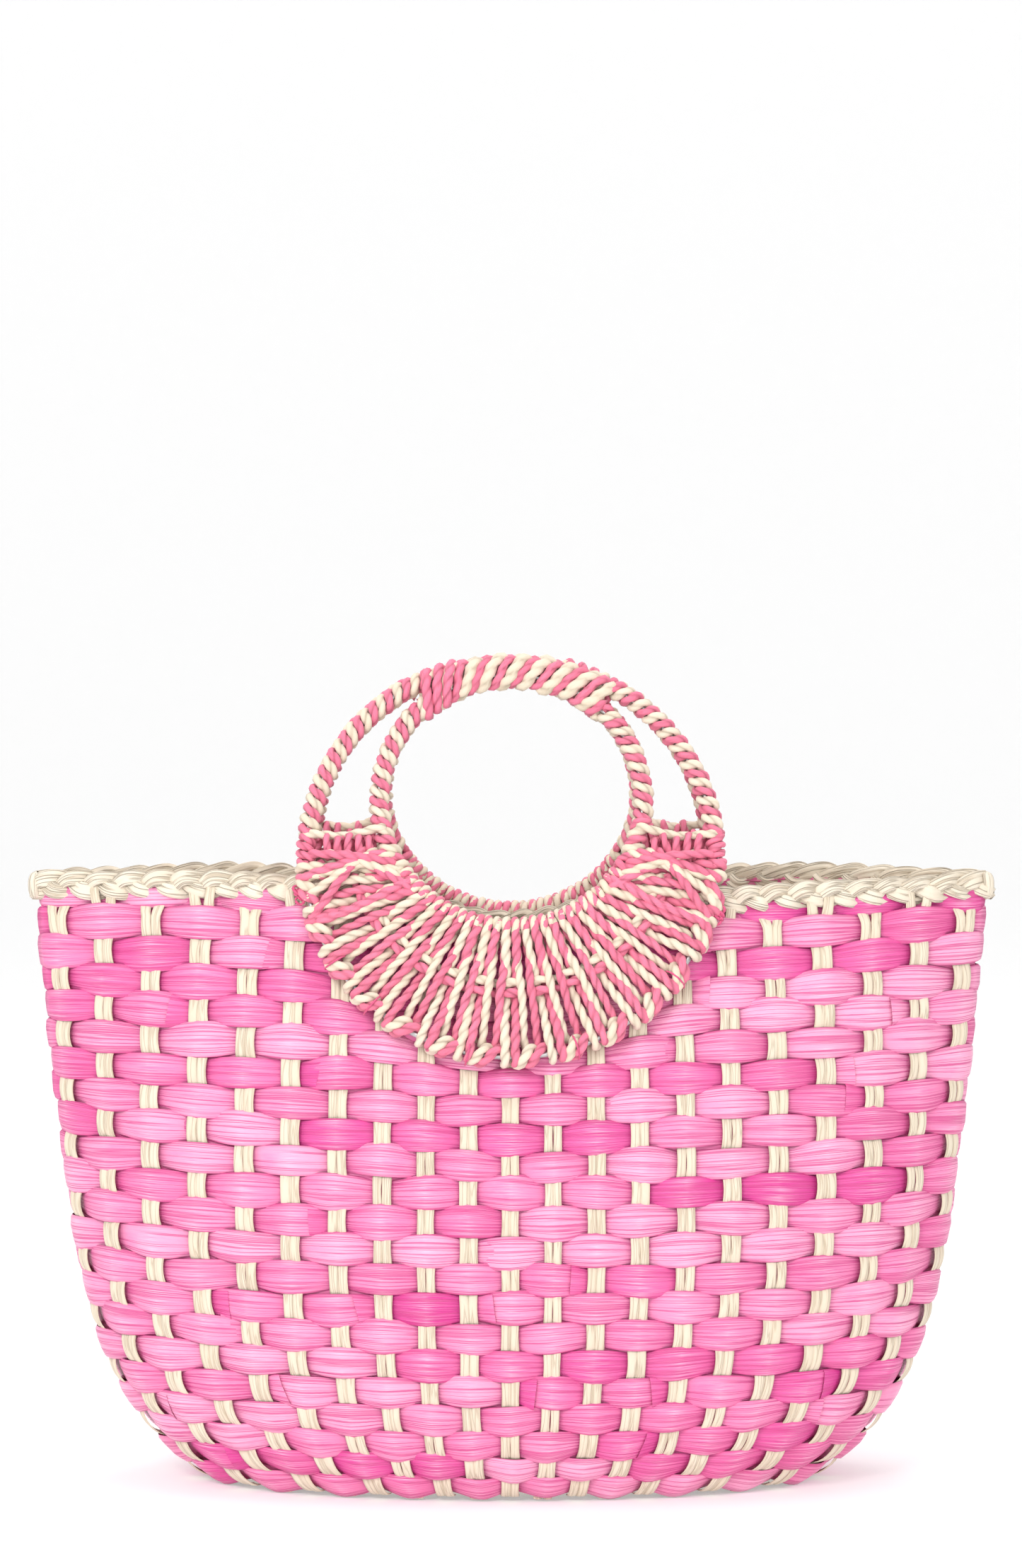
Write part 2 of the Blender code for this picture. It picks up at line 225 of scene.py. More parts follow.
class Strips:
    """Grids of points that are laid as strips of skin and joined into one piece."""

    def __init__(self):
        self.grids = []

    def add(self, points, along, across, **marks):
        """A strip's points, with its pattern coordinates and marks as values or grids."""
        self.grids.append((points, along, across, marks))

    def joined(self, pick):
        """One value per point of all the strips."""
        return np.concatenate([
            np.broadcast_to(pick(grid), grid[0].shape[:2]).ravel() for grid in self.grids])

    def piece(self, name, finish, closed=False, thickness=0.0):
        """One object of all the strips; each strip starts as a bmesh grid."""
        bm = bmesh.new()
        for points, *_ in self.grids:
            rows, columns = points.shape[:2]
            bmesh.ops.create_grid(bm, x_segments=columns - 1, y_segments=rows - 1, size=1.0)
        mesh = bpy.data.meshes.new(name)
        bm.to_mesh(mesh)
        bm.free()
        places = np.concatenate([grid[0].reshape(-1, 3) for grid in self.grids])
        mesh.vertices.foreach_set("co", places.astype(np.float32).ravel())
        index = np.empty(len(mesh.loops), np.int32)
        mesh.loops.foreach_get("vertex_index", index)
        flat = np.stack([self.joined(lambda grid: grid[1]), self.joined(lambda grid: grid[2])], -1)
        layer = mesh.uv_layers.new(name="UVMap")
        layer.data.foreach_set("uv", flat[index].astype(np.float32).ravel())
        for key in sorted({key for grid in self.grids for key in grid[3]}):
            values = self.joined(lambda grid: grid[3].get(key, 0.0))
            mark = mesh.attributes.new(key, "FLOAT", "POINT")
            mark.data.foreach_set("value", values.astype(np.float32))
        if closed:
            bm = bmesh.new()
            bm.from_mesh(mesh)
            bmesh.ops.remove_doubles(bm, verts=bm.verts, dist=1e-6)
            bmesh.ops.recalc_face_normals(bm, faces=bm.faces)
            bm.to_mesh(mesh)
            bm.free()
        mesh.shade_smooth()
        mesh.update()
        mesh.materials.append(finish)
        piece = put(name, mesh)
        if thickness:
            solid = piece.modifiers.new("thickness", "SOLIDIFY")
            solid.thickness = thickness
            solid.offset = -1.0
        return piece


def carried_frames(path):
    """Two directions across a path at each point, carried along it without twisting."""
    ahead = unit(np.gradient(path, axis=0))
    first = np.cross(ahead[0], [0.3, 0.5, 0.81])
    side = [first / np.linalg.norm(first)]
    for t in ahead[1:]:
        s = side[-1] - t * np.dot(side[-1], t)
        side.append(s / max(np.linalg.norm(s), 1e-9))
    side = np.array(side)
    return side, np.cross(ahead, side)


def smooth_path(knots, step=LAY_STEP):
    """A smooth curve through a few points, with a point about every step."""
    knots = np.asarray(knots, float)
    ends = np.vstack([2 * knots[0] - knots[1], knots, 2 * knots[-1] - knots[-2]])
    pieces = []
    for a, b, c, d in zip(ends, ends[1:], ends[2:], ends[3:]):
        count = max(2, int(round(np.linalg.norm(c - b) / step)))
        t = np.linspace(0, 1, count, endpoint=False)[:, None]
        pieces.append(0.5 * (2 * b + (c - a) * t + (2 * a - 5 * b + 4 * c - d) * t**2
                             + (3 * b - a - 3 * c + d) * t**3))
    pieces.append(knots[-1:])
    return np.vstack(pieces)


TWIST = 0.0135      # the length in which a cord's plies turn once
LOBE = 0.38         # how far the groove between the plies sinks, as a share of the radius


def lay_cord(strips, path, radius, tone, twist=TWIST, sides=10, start=0.0):
    """A two-ply cord along a path: a tube of two lobes that turn along its length, with round
    ends."""
    side, other = carried_frames(path)
    run = np.concatenate([[0], np.cumsum(np.linalg.norm(np.diff(path, axis=0), axis=1))])
    around = np.linspace(0, tau, sides + 1)
    turn = start + tau * run / twist
    ply = np.abs(np.cos(around[None, :] - turn[:, None]))
    lobes = 1 - LOBE + LOBE * ply**0.9
    swell = radius * (1 + 0.04 * np.sin(run * 410 + 9 * tone)) * np.ones_like(run)
    taper = np.clip(np.minimum(run, run[-1] - run) / (radius * 0.8), 0, 1)
    swell = swell * np.sqrt(1 - (1 - taper) ** 2)
    spread = lobes * swell[:, None]
    points = (path[:, None] + side[:, None] * (spread * np.cos(around))[..., None]
              + other[:, None] * (spread * np.sin(around))[..., None])
    strips.add(points, run[:, None] * PATH_CM + 7 * tone, around[None] / tau * 1.1,
               tone=tone, ply=ply)


# ---- finishes

def nodes_of(name):
    made = bpy.data.materials.new(name)
    made.use_nodes = True
    tree = made.node_tree
    return made, tree, tree.nodes["Principled BSDF"]


def feed(tree, socket, value):
    """Gives a socket a value, or links another socket to it."""
    if isinstance(value, bpy.types.NodeSocket):
        tree.links.new(value, socket)
    else:
        socket.default_value = value


def node(tree, kind, settings=(), **inputs):
    made = tree.nodes.new(kind)
    for key, value in dict(settings).items():
        setattr(made, key, value)
    for key, value in inputs.items():
        feed(tree, made.inputs[key.replace("_", " ")], value)
    return made


def mix(tree, factor, low, high, blend="MIX"):
    made = tree.nodes.new("ShaderNodeMix")
    made.data_type = "RGBA"
    made.blend_type = blend
    for place, value in ((0, factor), (6, low), (7, high)):
        feed(tree, made.inputs[place], value)
    return made.outputs[2]


def maths(tree, operation, *values, clamp=False):
    made = tree.nodes.new("ShaderNodeMath")
    made.operation = operation
    made.use_clamp = clamp
    for socket, value in zip(made.inputs, values):
        feed(tree, socket, value)
    return made.outputs[0]


def ramp(tree, factor, stops):
    made = tree.nodes.new("ShaderNodeValToRGB")
    tree.links.new(factor, made.inputs[0])
    elements = made.color_ramp.elements
    while len(elements) < len(stops):
        elements.new(0.5)
    for element, (place, colour) in zip(elements, stops):
        element.position = place
        element.color = (*colour, 1.0)
    return made.outputs[0]


def attribute(tree, name):
    return node(tree, "ShaderNodeAttribute", {"attribute_name": name}).outputs["Fac"]


def noise(tree, along, across, detail, roughness=0.5):
    """Noise in a strip's own coordinates, with so many cycles to a centimetre each way."""
    uv = node(tree, "ShaderNodeUVMap", {"uv_map": "UVMap"}).outputs[0]
    place = node(tree, "ShaderNodeMapping", Vector=uv, Scale=(along, across, 1.0)).outputs[0]
    return node(tree, "ShaderNodeTexNoise", Vector=place, Scale=1.0, Detail=detail,
                Roughness=roughness).outputs[0]


def past(tree, value, low, gain):
    """How far a value is past a low one, from 0 to 1."""
    return maths(tree, "MULTIPLY", maths(tree, "SUBTRACT", value, low), gain, clamp=True)


def lines(tree, value, gain):
    """Thin lines where a noise crosses its middle."""
    away = maths(tree, "ABSOLUTE", maths(tree, "SUBTRACT", value, 0.5))
    return maths(tree, "SUBTRACT", 1.0, maths(tree, "MULTIPLY", away, gain), clamp=True)


def tinted(tree, colour, amount, strength, tint):
    return mix(tree, maths(tree, "MULTIPLY", amount, strength), colour, (*tint, 1))


def darker(colour, share):
    return [part * share for part in colour]


def surface(tree, shader, height=None, bump=0.5, depth=0.0005, **values):
    """Sets the shader's own sockets, and its bump from a height in a strip's skin."""
    for key, value in values.items():
        feed(tree, shader.inputs[key.replace("_", " ")], value)
    if height is not None:
        made = node(tree, "ShaderNodeBump", Strength=bump, Distance=depth, Height=height)
        feed(tree, shader.inputs["Normal"], made.outputs[0])


DYE = [(0.00, (0.950, 0.375, 0.580)), (0.25, (0.925, 0.300, 0.515)), (0.52, (0.880, 0.225, 0.450)),
       (0.75, (0.830, 0.130, 0.370)), (0.90, (0.770, 0.070, 0.330)), (1.00, (0.690, 0.030, 0.280))]
DYE_PATCH = (0.930, 0.620, 0.840)
# the colour of the painted highlight on a float's bulge
DYE_HIGHLIGHT = (1.000, 0.640, 0.780)
DYE_PALE = (0.980, 0.480, 0.670)
DYE_VEIN = (0.600, 0.045, 0.225)
# the colour of the painted shade at a float's tucked ends and edges
DYE_SHADE = (0.600, 0.035, 0.215)
CREAM = (0.805, 0.715, 0.572)
BRAID_CREAM = (0.860, 0.780, 0.650)
CREAM_DARK = (0.640, 0.500, 0.340)
ROSE = (0.820, 0.215, 0.330)
ROSE_DARK = (0.520, 0.070, 0.130)
THREAD_ROSE = (0.760, 0.120, 0.260)
THREAD_DARK = (0.560, 0.050, 0.140)
COTTON_PALE = (0.960, 0.920, 0.840)
COTTON_DARK = (0.880, 0.800, 0.680)


def husk_finish(name):
    """Dyed corn husk: satin, with thin dark veins, painted shade at a float's tucked ends and
    edges, and a painted highlight in pale streaks along the middle of its bulge."""
    made, tree, shader = nodes_of(name)
    base = ramp(tree, attribute(tree, "tone"), DYE)
    tuck = attribute(tree, "tuck")
    edge = attribute(tree, "edge")
    veins = noise(tree, 0.06, 6.4, 2.0)
    fibre = noise(tree, 0.5, 26.0, 3.0, 0.6)
    patch = noise(tree, 0.8, 1.5, 3.0)
    vein = lines(tree, veins, 20.0)
    colour = mix(tree, past(tree, patch, 0.50, 2.2), base,
                 mix(tree, 1.0, base, (*DYE_PATCH, 1), "MULTIPLY"))
    streak = past(tree, fibre, 0.42, 3.2)
    # Painted highlight: pale fibre streaks along the middle of each float, where it bulges over its
    # stake towards the lamps.
    middle = maths(tree, "SUBTRACT", 1.0, maths(tree, "MULTIPLY", tuck, 1.35), clamp=True)
    painted_highlight = maths(tree, "MULTIPLY", streak, maths(tree, "POWER", middle, 1.8))
    # Painted shade: darker towards a float's ends, where it tucks under the stakes, and along its
    # edges, under the neighbouring rows.
    painted_shade = maths(tree, "MAXIMUM", maths(tree, "POWER", tuck, 7.0),
                   maths(tree, "POWER", edge, 12.0))
    for amount, strength, tint in ((painted_highlight, 0.85, DYE_HIGHLIGHT), (streak, 0.20, DYE_PALE),
                                   (vein, 0.85, DYE_VEIN), (painted_shade, 0.62, DYE_SHADE)):
        colour = tinted(tree, colour, amount, strength, tint)
    ridges = maths(tree, "SUBTRACT", maths(tree, "ADD", fibre, veins),
                   maths(tree, "MULTIPLY", vein, 0.8))
    surface(tree, shader, ridges, Base_Color=colour, Specular_IOR_Level=0.55,
            Roughness=maths(tree, "MULTIPLY_ADD", fibre, 0.25, 0.26))
    return made


def paper_finish(name, pale, dark, fibre=9.0, bump=0.5, creased=0.5):
    """Creased twisted paper: matt, with fibres and folds drawn out along the strip, and painted
    shade in its creases, along its edges where it turns under, and where it passes below another
    strand."""
    made, tree, shader = nodes_of(name)
    fine = noise(tree, 1.1, fibre, 5.0, 0.62)
    broad = noise(tree, 0.8, 1.4, 2.0)
    crease = lines(tree, noise(tree, 0.30, 5.0, 1.0), 22.0)
    wear = maths(tree, "MULTIPLY", maths(tree, "ADD", attribute(tree, "tone"), broad), 0.5)
    # Painted shade along a strand's edges, where it turns under, and where it passes below another
    # strand.
    edge_shade = maths(tree, "POWER", attribute(tree, "edge"), 5.0)
    under_shade = maths(tree, "POWER", attribute(tree, "under"), 3.0)
    colour = (*pale, 1)
    # The crease lines are painted shade in the creases; fibres and wear are the paper's own colour.
    for amount, strength, tint in ((past(tree, fine, 0.55, 4.0), 0.55, dark),
                                   (crease, creased, darker(dark, 0.66)), (wear, 0.35, dark),
                                   (edge_shade, 0.55, darker(dark, 0.75)),
                                   (under_shade, 0.30, darker(dark, 0.80))):
        colour = tinted(tree, colour, amount, strength, tint)
    relief = maths(tree, "SUBTRACT", fine, maths(tree, "MULTIPLY", crease, 0.9))
    surface(tree, shader, relief, bump, 0.0007, Base_Color=colour, Roughness=0.62,
            Specular_IOR_Level=0.30, Sheen_Weight=0.12)
    return made


def cord_finish(name, pale, dark):
    """Two-ply paper cord: fibres along each ply, with painted shade in the groove between the
    plies.
    """
    made, tree, shader = nodes_of(name)
    fine = noise(tree, 2.6, 10.0, 5.0, 0.65)
    between = maths(tree, "SUBTRACT", 1.0, attribute(tree, "ply"), clamp=True)
    # Painted shade in the groove between the two plies.
    groove = maths(tree, "POWER", between, 2.6)
    colour = (*pale, 1)
    for amount, strength, tint in ((past(tree, fine, 0.50, 4.0), 0.50, dark),
                                   (groove, 0.80, darker(dark, 0.50)),
                                   (attribute(tree, "tone"), 0.22, dark)):
        colour = tinted(tree, colour, amount, strength, tint)
    surface(tree, shader, fine, 0.6, Base_Color=colour, Roughness=0.60, Specular_IOR_Level=0.30,
            Sheen_Weight=0.15)
    return made


def cloth_finish():
    """Plain-weave cotton, its threads drawn from the cloth's own coordinates."""
    made, tree, shader = nodes_of("lining_cotton")
    weave = maths(tree, "ADD", noise(tree, 20.0, 0.6, 2.0), noise(tree, 0.6, 20.0, 2.0))
    colour = mix(tree, past(tree, weave, 0.9, 1.4), (*COTTON_DARK, 1), (*COTTON_PALE, 1))
    surface(tree, shader, weave, 0.5, 0.0004, Base_Color=colour, Roughness=0.85, Sheen_Weight=0.2)
    return made


def wire_finish():
    """Dull galvanised steel wire, clouded with zinc."""
    made, tree, shader = nodes_of("galvanised_wire")
    place = node(tree, "ShaderNodeTexCoord").outputs["Object"]
    patch = node(tree, "ShaderNodeTexNoise", Vector=place, Scale=240.0, Detail=3.0).outputs[0]
    colour = ramp(tree, patch, [(0.35, (0.42, 0.43, 0.43)), (0.65, (0.62, 0.63, 0.62))])
    surface(tree, shader, Base_Color=colour, Metallic=1.0, Roughness=0.42)
    return made


HUSK = husk_finish("dyed_husk_strip")
BACKING = husk_finish("dyed_husk_inner")
STAKE_PAPER = paper_finish("cream_paper_ribbon", CREAM, CREAM_DARK)
BRAID_PAPER = paper_finish("cream_paper_braid", BRAID_CREAM, CREAM_DARK, 7.0, 0.9, 0.55)
CREAM_CORD = cord_finish("cream_paper_cord", CREAM, CREAM_DARK)
ROSE_CORD = cord_finish("rose_paper_cord", ROSE, ROSE_DARK)
THREAD = cord_finish("rose_thread", THREAD_ROSE, THREAD_DARK)
COTTON = cloth_finish()
WIRE = wire_finish()

# ---- the mouth's four quarters

SIDES = ("front", "back")
QUARTERS = (("back", "right", 0.0), ("back", "left", 0.25),
            ("front", "left", 0.5), ("front", "right", 0.75))


def quarter(point):
    """Which quarter of the bag a point is in, as (side, end)."""
    return ("front" if point[1] < 0 else "back", "left" if point[0] < 0 else "right")


def bends_with_handle(piece):
    """Bakes the piece's place into its points; it is tied neither to a handle nor to the bag, and
    doesn't bend.
    """
    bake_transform(piece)


# ---- the husk weave

ACROSS = np.array([-1.0, -0.84, -0.36, 0.36, 0.84, 1.0])[None, :]
ALONG = 13              # points along a float
FLOAT_LOW = -0.0009     # how far out a float's tucked ends lie, and its bulge above them
FLOAT_BULGE = 0.0043
TUCKED_TOP = -0.0016    # the top row lies deeper, under the rim
OVERLAY = 0.00045       # a new strip's end lies on the old one
OVERLAID = 0.45         # the share of new strips that show it
SKIN_DEPTH = -0.0015    # the skin behind the floats


def row_sway(row, place):
    """A row isn't laid quite level: how far it strays, in rows."""
    slow = 0.05 * np.sin(tau * 3 * place + 1.7 * row)
    return slow + 0.03 * np.sin(tau * 8 * place + 4.1 * row)


def float_grid(row, stake, lift=0.0, start=-1.0, reach=1.0, wide=1.0, skew=0.0):
    """One husk float over a hidden stake, from under the stake before it to under the one after."""
    t = ACROSS
    p = np.linspace(start, reach, ALONG)[:, None] + skew * t
    middle = RNG.uniform(-0.14, 0.14)
    shifted = p - middle * (1 - p**2)
    rise = 0.5 + 0.5 * np.cos(pi * np.clip(shifted, -1, 1))
    crown = 0.0004 * t**2 + 0.0012 * t**10
    bend = 1 - np.clip(np.abs(shifted), 0, 1) ** 1.3
    out = FLOAT_LOW + FLOAT_BULGE * (0.6 * bend + 0.4 * rise) - crown + lift
    top = 0.46 + RNG.uniform(0.06, 0.22) * rise**0.7
    foot = 0.46 + RNG.uniform(0.06, 0.22) * rise**0.7
    place = (stake + p + 0.5) / STAKES_ROUND + 0 * t
    lean = RNG.uniform(-0.055, 0.055)
    v = row + 0.5 + row_sway(row, place) + lean * p + np.where(t > 0, top, foot) * t * wide
    ridge = (0.00016 * np.sin(5.3 * t + RNG.uniform(0, 6))
             + 0.00010 * np.sin(11.0 * t + RNG.uniform(0, 6)))
    return wall(place, row_height(np.clip(v, -0.30, ROWS - 0.25)), out + ridge * rise), p, t


def husk_floats():
    """Every float of every row, with the tone of the strip that it belongs to."""
    made = []
    for row in range(ROWS):
        strip, left = 0.5, 0
        for stake in range(STAKES_ROUND):
            if (stake + row) % 2:
                continue
            fresh = left == 0
            if fresh:
                strip = min(max(RNG.betavariate(1.1, 1.6), 0.02), 0.98)
                left = RNG.choice((1, 2, 2, 3, 4))
            left -= 1
            tone = min(max(strip + RNG.uniform(-0.10, 0.10), 0), 1)
            lift = TUCKED_TOP if row == ROWS - 1 else 0.0
            made.append((row, *float_grid(row, stake, lift), tone))
            on_face = 2 <= stake % FACE_STAKES <= FACE_STAKES - 3
            if fresh and on_face and 0 < row < ROWS - 1 and RNG.random() < OVERLAID:
                first, last = RNG.choice(((0.40, 0.97), (-0.97, -0.40)))
                skew = RNG.uniform(-0.09, 0.09)
                over = float_grid(row, stake, OVERLAY, first, last, 0.94, skew)
                made.append((row, *over, min(tone + RNG.uniform(0.05, 0.25), 1)))
    return made


def weave_husk():
    """The floats of every row: lower rows in one piece for each CAD course, upper rows in four
    quarters."""
    courses = sorted(name for name in frame["nodes"] if name.startswith("husk_course"))
    upper = [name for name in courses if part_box(name)[1][2] > HINGE_HEIGHT + 0.002]
    lower = [name for name in courses if name not in upper]
    groups = defaultdict(Strips)
    for row, points, p, t, tone in husk_floats():
        if row + 1 > HINGE_ROW:
            key = ("upper", *quarter(points[len(points) // 2, 3]))
        else:
            key = ("lower", int(row * len(lower) / HINGE_ROW))
        start = RNG.uniform(0, 90)
        # tuck and edge place the husk's painted shade at a float's ends and edges, and keep its
        # painted highlight to the middle.
        groups[key].add(
            points, (p + 1) * 2.1 + start, (t + 1) * 0.68 + start * 0.37, tone=tone,
            tuck=np.clip(np.abs(p) * 1.12, 0, 1), edge=np.abs(t))
    for key, strips in groups.items():
        if key[0] == "lower":
            piece = strips.piece(f"husk_rows_{key[1] + 1:02d}", HUSK)
            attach(piece, "basket")
            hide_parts(lower[key[1]])
        else:
            piece = strips.piece(f"husk_upper_{key[1]}_{key[2]}", HUSK)
            bends_with_handle(piece)
            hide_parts(*upper)


def inner_skin(low, high, first, last, name):
    """A band of skin behind the floats, from row to row and from place to place."""
    place = np.linspace(first, last, 61 if last - first < 0.5 else 181)[None, :]
    v = np.linspace(low, high, int((high - low) * 2) + 2)[:, None]
    strips = Strips()
    # tuck and edge give this hidden skin a little of the husk's painted shade.
    strips.add(wall(place, row_height(v), SKIN_DEPTH), place * GIRTH_CM, v * ROW_CM,
               tone=0.62, tuck=0.75, edge=0.5)
    piece = strips.piece(name, BACKING)
    return piece


def back_the_weave():
    """The strips' hidden stretches, as one skin that closes the gaps between the floats."""
    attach(inner_skin(0.15, HINGE_ROW + 0.3, 0.0, 1.0, "husk_inner_lower"), "basket")
    for side, end, first in QUARTERS:
        piece = inner_skin(HINGE_ROW - 0.1, ROWS - 0.2, first, first + 0.25,
                           f"husk_inner_{side}_{end}")
        bends_with_handle(piece)


# ---- the paper stakes

RIBBON_APART = 0.00215  # half the distance between a pair's two ribbons
RIBBON_OUT = 0.00045    # how far out a ribbon lies on average, and how far it weaves
RIBBON_WEAVE = 0.00170


def ribbon_grid(stake, v, centre, half, lift):
    """One paper ribbon of a stake's pair, over and under the rows."""
    t = np.array([-1.0, -0.8, 0.0, 0.8, 1.0])[None, :]
    v = v[:, None]
    wave = -np.cos(pi * (v - 0.5 + stake))
    sharp = np.sign(wave) * np.abs(wave) ** 0.7
    out = RIBBON_OUT + RIBBON_WEAVE * sharp + 0.00055 * (1 - t**4) + lift
    z = row_height(np.clip(v, -0.3, ROWS + 0.9))
    girth = np.interp(z, TABLE_HEIGHTS, GIRTH_TABLE)
    pinch = 1 - 0.10 * np.clip(wave, 0, 1)
    place = (stake + 0.5) / STAKES_ROUND + (centre + t * half * pinch) / girth
    return wall(place, z, out), t


def stake_ribbons():
    """A pair of ribbons for each stake, spread at the top where the braid takes them in."""
    groups = defaultdict(Strips)
    split = int(round(HINGE_ROW))
    spans = {"lower": np.linspace(-0.25, split, 6 * split + 1),
             "upper": np.linspace(split, ROWS - 0.15, 6 * (ROWS - split))}
    for stake in range(STAKES_ROUND):
        drift = RNG.uniform(-0.0005, 0.0005)
        for ribbon in (-1, 1):
            start = RNG.uniform(0, 60)
            tone = RNG.random()
            half = RNG.uniform(0.00225, 0.00255)
            phase = RNG.uniform(0, 6)
            for part, v in spans.items():
                spread = 1 + 0.9 * np.clip(v - (ROWS - 1.3), 0, 1) ** 0.8
                stray = 0.0002 * np.sin(1.9 * v + phase)
                centre = (ribbon * RIBBON_APART * spread + drift + stray)[:, None]
                points, t = ribbon_grid(stake, v, centre, half, 0.00008 * ribbon)
                middle = points[len(points) // 2, 1]
                key = (part,) if part == "lower" else (part, *quarter(middle))
                # edge gives the paper's painted shade along each ribbon's sides.
                groups[key].add(
                    points, v[:, None] * ROW_CM + start, (t + 1) * 0.2 + start * 0.3, tone=tone,
                    edge=np.abs(t))
    names = sorted(name for name in frame["nodes"] if name.startswith("stake_"))
    for key, strips in groups.items():
        piece = strips.piece("stakes_" + "_".join(key), STAKE_PAPER)
        if key[0] == "lower":
            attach(piece, "basket")
            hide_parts(*names)
        else:
            bends_with_handle(piece)


# ---- the plaited rim

BRAID_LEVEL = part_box("rim_braid")[1][2] - 0.0044
BRAID_TURNS = 24        # how often a strand crosses over and back, once round the mouth
BRAID_HALF = 0.0035     # half a strand's width, and half its thickness
BRAID_THICK = 0.0015


def rim_braid():
    """Three flat creased paper strands plaited round the mouth, in four lengths that meet end to
    end."""
    around = np.linspace(0, tau, 25)
    pleats = 1 + 0.42 * np.cos(6 * around)
    groups = defaultdict(Strips)
    for strand, tone in enumerate((0.2, 0.55, 0.85)):
        for side, end, first in QUARTERS:
            place = np.linspace(first, first + 0.25, 220)
            phase = tau * (BRAID_TURNS * place + strand / 3)
            zigzag = np.tanh(1.1 * np.sin(phase)) / tanh(1.1)
            centre = wall(place, BRAID_LEVEL, 0.0004)
            outward = unit(wall(place, BRAID_LEVEL, 0.0014) - centre)
            path = centre + outward * (0.0021 * np.sin(2 * phase))[:, None]
            path[:, 2] += 0.0032 * zigzag
            flat_way = unit(np.cross(outward, unit(np.gradient(path, axis=0))))
            uneven = 0.10 * np.sin(phase * 0.5 + strand)
            half = BRAID_HALF * (1 + uneven + 0.07 * np.sin(place * 311 + strand))
            roll = 0.5 * np.sin(place * 173 + 2 * strand)
            thick = BRAID_THICK * (1 + (pleats[None, :] - 1) * (0.75 + roll[:, None]))
            points = (path[:, None]
                      + flat_way[:, None] * (half[:, None] * np.cos(around))[..., None]
                      + outward[:, None] * (thick * np.sin(around))[..., None])
            # edge and under give the paper's painted shade along a strand's turned sides and where
            # it passes below the others.
            groups[side, end].add(
                points, place[:, None] * GIRTH_CM + strand * 31, around[None] / 3.3, tone=tone,
                edge=0.7 * np.abs(np.cos(around))[None],
                under=(0.5 - 0.5 * np.sin(2 * phase))[:, None])
    for (side, end), strips in groups.items():
        piece = strips.piece(f"rim_braid_{side}_{end}", BRAID_PAPER, closed=True)
        bends_with_handle(piece)
        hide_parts("rim_braid")


def rim_end_folds():
    """The two upright folds of strand that close the plait at each end of the mouth."""
    s = np.linspace(-1, 1, 15)[:, None]
    around = np.linspace(0, tau, 17)[None, :]
    full = np.sqrt(np.maximum(1 - s**4, 0))
    for end, sign in (("left", -1), ("right", 1)):
        strips = Strips()
        for lean in (-1, 1):
            pleats = 1 + 0.10 * np.cos(7 * around + lean)
            x = (sign * (half_width(BRAID_LEVEL) + 0.0006 - 0.0010 * s**2)
                 + 0.0026 * full * pleats * np.cos(around))
            y = lean * (0.0019 + 0.0008 * s) + 0.0030 * full * pleats * np.sin(around)
            strips.add(spots(x, y, BRAID_LEVEL + 0.0066 * s), s * 0.7 + 5 * lean, around / 3.3,
                       tone=0.3)
        piece = strips.piece(f"rim_end_fold_{end}", BRAID_PAPER, closed=True)
        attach(piece, "basket")
        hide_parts("rim_braid")


# ---- lining and bottom


def cloth_grid(place, z, inset):
    """The lining's upright part, a little rippled."""
    ripple = 0.0005 * np.sin(place * 160 + z * 55) * np.sin(z * 90)
    return wall(place, z, -inset + ripple)


LINING_TOP = 0.2690
LINING_LAP = 0.002      # how far the upper lengths reach below the hinge
LINING_INSET = 0.0062
LINING_THICK = 0.0006


def lining_bag():
    """The cotton bag: its upper part follows the mouth, its lower part has a floor."""
    for side, end, first in QUARTERS:
        place = np.linspace(first, first + 0.25, 41)[None, :]
        z = np.linspace(HINGE_HEIGHT - LINING_LAP, LINING_TOP, 14)[:, None]
        strips = Strips()
        points = cloth_grid(place, z, LINING_INSET)
        strips.add(points, place * GIRTH_CM, z * PATH_CM)
        piece = strips.piece(f"lining_{side}_{end}", COTTON, thickness=LINING_THICK)
        bends_with_handle(piece)
        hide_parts("lining")
    place = np.linspace(0, 1, 161)[None, :]
    z = np.linspace(HINGE_HEIGHT, 0.010, 24)[:, None]
    sides = cloth_grid(place, z, LINING_INSET + 0.0002)
    floor = np.array([0, 0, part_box("lining")[0][2] + LINING_THICK])
    rings = [(sides[-1] * np.array([scale, scale, 0]) + floor)[None]
             for scale in (0.93, 0.7, 0.35, 0.0)]
    points = np.concatenate([sides, *rings])
    strips = Strips()
    strips.add(points, place * GIRTH_CM, np.linspace(0, 30, len(points))[:, None])
    piece = strips.piece("lining_bag", COTTON, closed=True, thickness=LINING_THICK)
    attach(piece, "basket")
    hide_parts("lining")


MAT_STEP = 0.0128       # from one ribbon of the bottom to the next
MAT_HALF = 0.0058
MAT_EDGE = 0.010        # the mat ends this far inside the CAD one
MAT_LEVEL = 0.0017
MAT_WAVE = 0.0010


